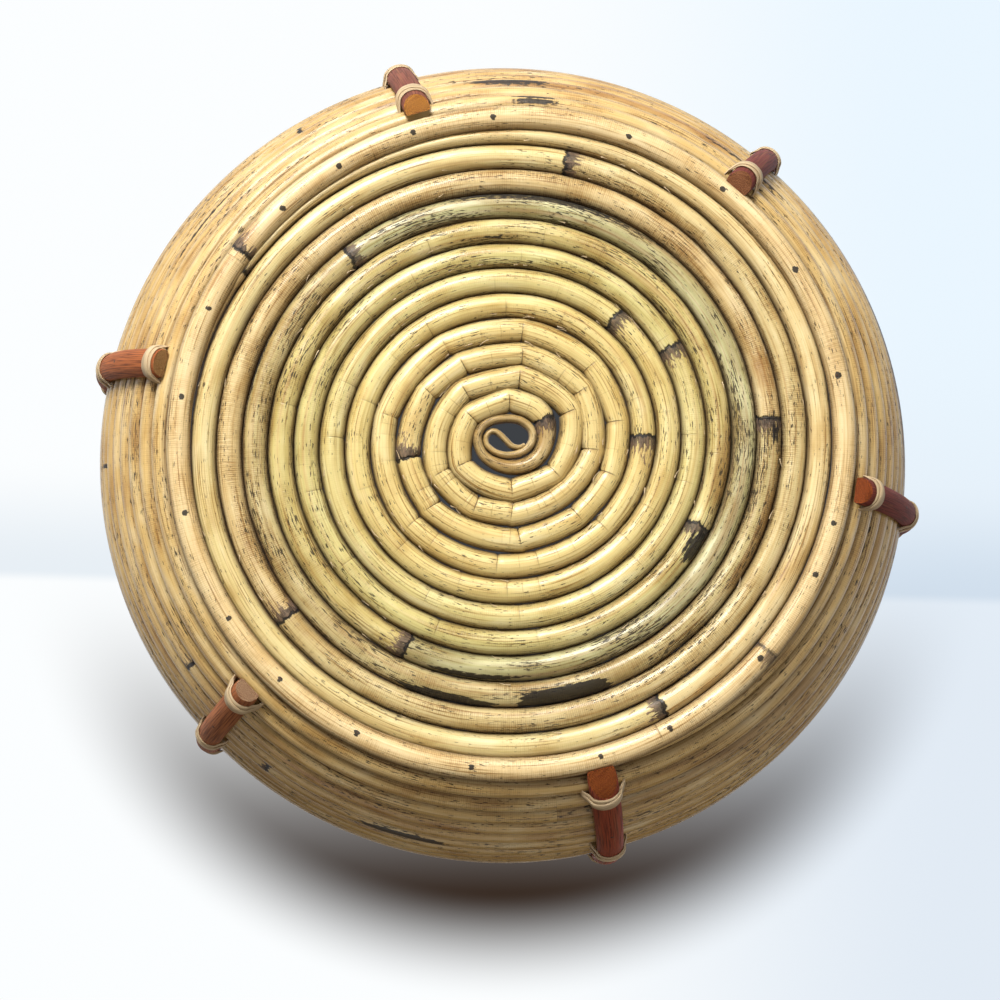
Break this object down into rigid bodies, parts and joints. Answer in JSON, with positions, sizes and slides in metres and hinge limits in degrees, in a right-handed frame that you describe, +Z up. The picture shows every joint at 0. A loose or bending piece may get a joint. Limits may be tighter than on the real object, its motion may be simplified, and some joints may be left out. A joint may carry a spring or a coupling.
{
  "type": "coiled basket",
  "caption": "Round open bowl basket coiled from whole rattan canes, with a foot ring under a flat spiral floor and split ribs strapped up the outside.",
  "frame": {"origin": "centre of the foot ring, on the ground that it stands on", "axes": "+Z up through the open mouth; +X and -Y lie to the right and at the top of the picture, which looks at the underside"},
  "size_m": [0.3498, 0.3436, 0.12],
  "materials": {
    "straw_cane": "whole rattan cane, straw to orange tan with greenish grey stretches, clear lacquer",
    "pale_cane": "whole rattan cane, paler straw, clear lacquer",
    "pink_cane": "whole rattan cane, tan pink with fine cracks across it, clear lacquer",
    "rib_cane": "split rattan cane, stained red brown, porous orange end grain",
    "strap_cane": "thin flat strip of rattan peel, satin",
    "brad_steel": "dark oxidised steel"
  },
  "bodies": {
    "root": {"floor_coil": "straw_cane", "foot_ring": "pink_cane", "wall_cane_1": "straw_cane", "wall_cane_2": "pale_cane", "wall_cane_3": "straw_cane", "wall_cane_4": "pale_cane", "wall_cane_5": "straw_cane", "wall_cane_6": "pale_cane", "rib_1": "rib_cane", "rib_2": "rib_cane", "rib_3": "rib_cane", "rib_4": "rib_cane", "rib_5": "rib_cane", "rib_6": "rib_cane", "foot_strap_1": "strap_cane", "foot_strap_2": "strap_cane", "foot_strap_3": "strap_cane", "foot_strap_4": "strap_cane", "foot_strap_5": "strap_cane", "foot_strap_6": "strap_cane", "belly_strap_1": "strap_cane", "belly_strap_2": "strap_cane", "belly_strap_3": "strap_cane", "belly_strap_4": "strap_cane", "belly_strap_5": "strap_cane", "belly_strap_6": "strap_cane", "rim_strap_1": "strap_cane", "rim_strap_2": "strap_cane", "rim_strap_3": "strap_cane", "rim_strap_4": "strap_cane", "rim_strap_5": "strap_cane", "rim_strap_6": "strap_cane", "foot_brad_1": "brad_steel", "foot_brad_2": "brad_steel", "foot_brad_3": "brad_steel", "foot_brad_4": "brad_steel", "foot_brad_5": "brad_steel", "foot_brad_6": "brad_steel", "foot_brad_7": "brad_steel", "foot_brad_8": "brad_steel", "foot_brad_9": "brad_steel", "foot_brad_10": "brad_steel", "foot_brad_11": "brad_steel", "foot_brad_12": "brad_steel", "foot_brad_13": "brad_steel", "foot_brad_14": "brad_steel", "foot_brad_15": "brad_steel", "foot_brad_16": "brad_steel", "foot_brad_17": "brad_steel", "foot_brad_18": "brad_steel", "foot_brad_19": "brad_steel", "foot_brad_20": "brad_steel", "rib_brad_1": "brad_steel", "rib_brad_2": "brad_steel", "rib_brad_3": "brad_steel", "rib_brad_4": "brad_steel", "rib_brad_5": "brad_steel", "rib_brad_6": "brad_steel"}
  },
  "joints": []
}
